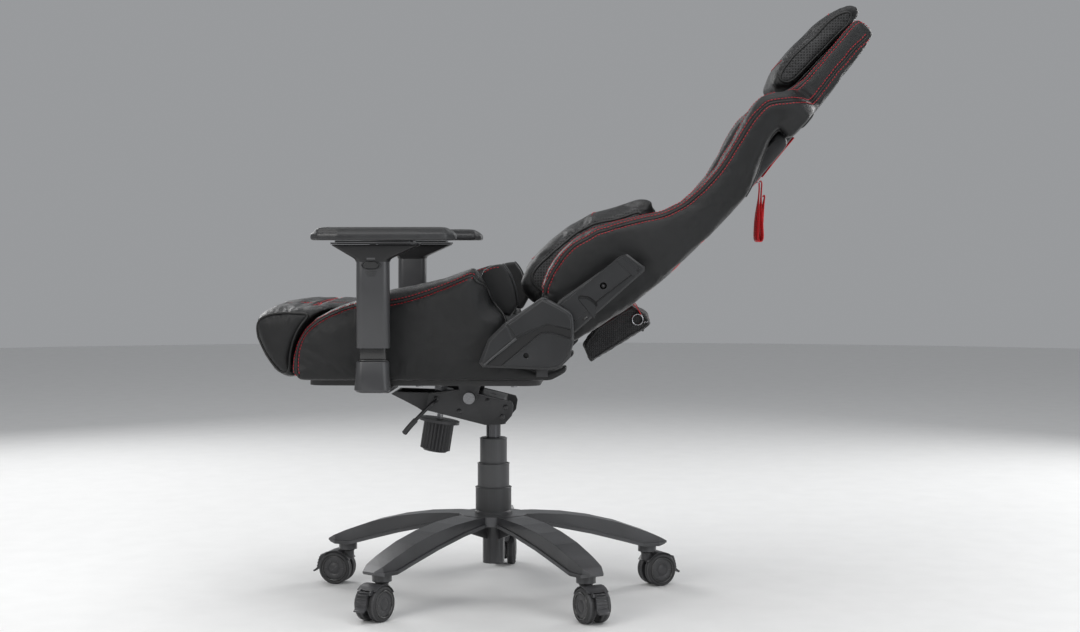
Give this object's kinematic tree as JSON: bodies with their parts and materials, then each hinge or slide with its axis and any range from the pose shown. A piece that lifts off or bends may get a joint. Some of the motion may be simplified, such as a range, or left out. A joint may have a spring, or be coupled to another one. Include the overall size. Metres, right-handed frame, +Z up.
{
  "type": "gaming chair",
  "caption": "Reclining bucket-seat gaming chair with lumbar and head pillows, adjustable armrests, gas lift, tilt mechanism and a star base on braked twin-wheel castors.",
  "frame": {"origin": "on the floor, on the swivel axis of the column", "axes": "+Z up; the sitter faces -Y; +X is the sitter's left; drawn with the backrest reclined as pictured"},
  "size_m": [0.737, 1.1287, 1.1202],
  "materials": {
    "base_grey": "satin",
    "steel_black": "satin",
    "plastic_grey": "satin",
    "rod_steel": "polished",
    "bolt_steel": "satin",
    "plastic_black": "satin",
    "board": "matte",
    "leather_black": "satin",
    "leather_grey": "satin",
    "mesh_black": "matte",
    "webbing_red": "matte",
    "button_black": "gloss",
    "pad_grey": "satin",
    "caster_black": "satin",
    "wheel_grey": "satin"
  },
  "bodies": {
    "base": {"star_base": "base_grey", "gas_tube": "steel_black", "cover_lower": "plastic_grey"},
    "sleeve_mid": {"cover_middle": "plastic_grey"},
    "sleeve_top": {"cover_upper": "plastic_grey"},
    "lift": {"gas_piston": "rod_steel"},
    "mechanism": {"mechanism_housing": "steel_black", "tilt_shaft": "bolt_steel", "tension_spring": "bolt_steel"},
    "tension_knob": {"tension_knob": "plastic_black"},
    "height_lever": {"height_lever": "steel_black"},
    "seat": {"seat_plate": "steel_black", "seat_frame": "board", "seat_bolts": "bolt_steel", "seat_cushion": "leather_black", "seat_side_left": "leather_black", "seat_side_right": "leather_black", "hinge_cover_left": "plastic_black", "hinge_cover_right": "plastic_black", "recliner_plates": "steel_black", "arm_mount_left": "steel_black", "arm_mount_right": "steel_black"},
    "recline_lever": {"recline_lever": "plastic_black"},
    "back": {"back_frame": "steel_black", "back_pad": "leather_black", "back_side_left": "leather_black", "back_side_right": "leather_black", "rear_panel": "leather_grey", "back_strip_left": "plastic_black", "back_strip_right": "plastic_black", "rear_pouch": "mesh_black", "strap_anchor": "webbing_red"},
    "lumbar": {"lumbar_pillow": "leather_black"},
    "head": {"head_pillow": "leather_black"},
    "strap": {"red_strap": "webbing_red"},
    "arm_left": {"arm_sleeve_left": "plastic_grey"},
    "arm_left_button": {"arm_button_left": "button_black"},
    "arm_left_turn": {"arm_turntable_left": "plastic_black"},
    "arm_left_cross": {"arm_cross_slide_left": "plastic_black"},
    "arm_left_pad": {"arm_pad_left": "pad_grey"},
    "arm_right": {"arm_sleeve_right": "plastic_grey"},
    "arm_right_button": {"arm_button_right": "button_black"},
    "arm_right_turn": {"arm_turntable_right": "plastic_black"},
    "arm_right_cross": {"arm_cross_slide_right": "plastic_black"},
    "arm_right_pad": {"arm_pad_right": "pad_grey"},
    "caster_1": {"caster_1_housing": "caster_black"},
    "caster_1_wheels": {"caster_1_wheels": "wheel_grey"},
    "caster_1_brake": {"caster_1_brake": "caster_black"},
    "caster_2": {"caster_2_housing": "caster_black"},
    "caster_2_wheels": {"caster_2_wheels": "wheel_grey"},
    "caster_2_brake": {"caster_2_brake": "caster_black"},
    "caster_3": {"caster_3_housing": "caster_black"},
    "caster_3_wheels": {"caster_3_wheels": "wheel_grey"},
    "caster_3_brake": {"caster_3_brake": "caster_black"},
    "caster_4": {"caster_4_housing": "caster_black"},
    "caster_4_wheels": {"caster_4_wheels": "wheel_grey"},
    "caster_4_brake": {"caster_4_brake": "caster_black"},
    "caster_5": {"caster_5_housing": "caster_black"},
    "caster_5_wheels": {"caster_5_wheels": "wheel_grey"},
    "caster_5_brake": {"caster_5_brake": "caster_black"}
  },
  "joints": [
    {"name": "back_recline", "type": "hinge", "parent": "seat", "child": "back", "pos_m": [0, 0.105, 0.512], "axis": [1, 0, 0], "range_deg": [-16, 36]},
    {"name": "seat_tilt", "type": "hinge", "parent": "mechanism", "child": "seat", "pos_m": [0, -0.04, 0.386], "axis": [1, 0, 0], "range_deg": [-12, 0], "stiffness_Nm_per_rad": 220, "springref_deg": 25.78},
    {"name": "seat_lift", "type": "slide", "parent": "base", "child": "lift", "axis": [0, 0, 1], "range_m": [-0.06, 0.03]},
    {"name": "seat_swivel", "type": "hinge", "parent": "lift", "child": "mechanism", "pos_m": [0, 0, 0.36], "axis": [0, 0, 1], "continuous": true},
    {"name": "recline_lever_pull", "type": "hinge", "parent": "seat", "child": "recline_lever", "pos_m": [-0.309, 0.035, 0.492], "axis": [1, 0, 0], "range_deg": [-20, 0], "stiffness_Nm_per_rad": 0.6, "springref_deg": 14.32},
    {"name": "height_lever_pull", "type": "hinge", "parent": "mechanism", "child": "height_lever", "pos_m": [0.07, -0.105, 0.38], "axis": [1, 0, 0], "range_deg": [-14, 0], "stiffness_Nm_per_rad": 1.2, "springref_deg": 17.19},
    {"name": "tension_knob_turn", "type": "hinge", "parent": "mechanism", "child": "tension_knob", "pos_m": [0, -0.104, 0.34], "axis": [0, 0.1564, 0.9877], "continuous": true},
    {"name": "lumbar_slide", "type": "slide", "parent": "back", "child": "lumbar", "axis": [0, 0.6947, 0.7193], "range_m": [0, 0.04]},
    {"name": "head_slide", "type": "slide", "parent": "back", "child": "head", "axis": [0, 0.6947, 0.7193], "range_m": [-0.04, 0.02]},
    {"name": "strap_swing", "type": "hinge", "parent": "back", "child": "strap", "pos_m": [0, 0.5116, 0.7945], "axis": [1, 0, 0], "range_deg": [-38, 52]},
    {"name": "sleeve_mid_slide", "type": "slide", "parent": "base", "child": "sleeve_mid", "axis": [0, 0, 1], "range_m": [-0.0205, 0.0105]},
    {"name": "sleeve_top_slide", "type": "slide", "parent": "base", "child": "sleeve_top", "axis": [0, 0, 1], "range_m": [-0.041, 0.021]},
    {"name": "arm_left_height", "type": "slide", "parent": "seat", "child": "arm_left", "axis": [0, 0, 1], "range_m": [-0.02, 0.05]},
    {"name": "arm_left_swivel", "type": "hinge", "parent": "arm_left", "child": "arm_left_turn", "pos_m": [0.305, -0.1915, 0.668], "axis": [0, 0, 1], "range_deg": [-20, 20]},
    {"name": "arm_left_sideways", "type": "slide", "parent": "arm_left_turn", "child": "arm_left_cross", "axis": [1, 0, 0], "range_m": [-0.012, 0.012]},
    {"name": "arm_left_fore_aft", "type": "slide", "parent": "arm_left_cross", "child": "arm_left_pad", "axis": [0, 1, 0], "range_m": [-0.03, 0.03]},
    {"name": "arm_left_button_press", "type": "slide", "parent": "arm_left", "child": "arm_left_button", "axis": [-1, 0, 0], "range_m": [0, 0.0025], "stiffness_N_per_m": 400, "springref_m": -0.002},
    {"name": "arm_right_height", "type": "slide", "parent": "seat", "child": "arm_right", "axis": [0, 0, 1], "range_m": [-0.02, 0.05]},
    {"name": "arm_right_swivel", "type": "hinge", "parent": "arm_right", "child": "arm_right_turn", "pos_m": [-0.305, -0.1915, 0.668], "axis": [0, 0, 1], "range_deg": [-20, 20]},
    {"name": "arm_right_sideways", "type": "slide", "parent": "arm_right_turn", "child": "arm_right_cross", "axis": [1, 0, 0], "range_m": [-0.012, 0.012]},
    {"name": "arm_right_fore_aft", "type": "slide", "parent": "arm_right_cross", "child": "arm_right_pad", "axis": [0, 1, 0], "range_m": [-0.03, 0.03]},
    {"name": "arm_right_button_press", "type": "slide", "parent": "arm_right", "child": "arm_right_button", "axis": [1, 0, 0], "range_m": [0, 0.0025], "stiffness_N_per_m": 400, "springref_m": -0.002},
    {"name": "caster_1_swivel", "type": "hinge", "parent": "base", "child": "caster_1", "pos_m": [0.25363, 0.18427, 0.07], "axis": [0, 0, 1], "continuous": true},
    {"name": "caster_2_swivel", "type": "hinge", "parent": "base", "child": "caster_2", "pos_m": [-0.09688, 0.29816, 0.07], "axis": [0, 0, 1], "continuous": true},
    {"name": "caster_3_swivel", "type": "hinge", "parent": "base", "child": "caster_3", "pos_m": [-0.3135, 0, 0.07], "axis": [0, 0, 1], "continuous": true},
    {"name": "caster_4_swivel", "type": "hinge", "parent": "base", "child": "caster_4", "pos_m": [-0.09688, -0.29816, 0.07], "axis": [0, 0, 1], "continuous": true},
    {"name": "caster_5_swivel", "type": "hinge", "parent": "base", "child": "caster_5", "pos_m": [0.25363, -0.18427, 0.07], "axis": [0, 0, 1], "continuous": true},
    {"name": "caster_1_roll", "type": "hinge", "parent": "caster_1", "child": "caster_1_wheels", "pos_m": [0.27268, 0.19527, 0.032], "axis": [-0.5, 0.866, 0], "continuous": true},
    {"name": "caster_2_roll", "type": "hinge", "parent": "caster_2", "child": "caster_2_wheels", "pos_m": [-0.10788, 0.31721, 0.032], "axis": [-0.866, -0.5, 0], "continuous": true},
    {"name": "caster_3_roll", "type": "hinge", "parent": "caster_3", "child": "caster_3_wheels", "pos_m": [-0.3355, 0, 0.032], "axis": [0, -1, 0], "continuous": true},
    {"name": "caster_4_roll", "type": "hinge", "parent": "caster_4", "child": "caster_4_wheels", "pos_m": [-0.1007, -0.31982, 0.032], "axis": [0.9848, -0.1736, 0], "continuous": true},
    {"name": "caster_5_roll", "type": "hinge", "parent": "caster_5", "child": "caster_5_wheels", "pos_m": [0.27268, -0.19527, 0.032], "axis": [0.5, 0.866, 0], "continuous": true},
    {"name": "caster_1_brake_step", "type": "hinge", "parent": "caster_1", "child": "caster_1_brake", "pos_m": [0.29736, 0.20952, 0.0538], "axis": [-0.5, 0.866, 0], "range_deg": [-18, 0]},
    {"name": "caster_2_brake_step", "type": "hinge", "parent": "caster_2", "child": "caster_2_brake", "pos_m": [-0.12213, 0.34189, 0.0538], "axis": [-0.866, -0.5, 0], "range_deg": [-18, 0]},
    {"name": "caster_3_brake_step", "type": "hinge", "parent": "caster_3", "child": "caster_3_brake", "pos_m": [-0.364, 0, 0.0538], "axis": [0, -1, 0], "range_deg": [-18, 0]},
    {"name": "caster_4_brake_step", "type": "hinge", "parent": "caster_4", "child": "caster_4_brake", "pos_m": [-0.10565, -0.34789, 0.0538], "axis": [0.9848, -0.1736, 0], "range_deg": [-18, 0]},
    {"name": "caster_5_brake_step", "type": "hinge", "parent": "caster_5", "child": "caster_5_brake", "pos_m": [0.29736, -0.20952, 0.0538], "axis": [0.5, 0.866, 0], "range_deg": [-18, 0]}
  ],
  "couplings": [
    {"joint": "sleeve_mid_slide", "follows": "seat_lift", "ratio": 0.33333},
    {"joint": "sleeve_top_slide", "follows": "seat_lift", "ratio": 0.66667}
  ]
}
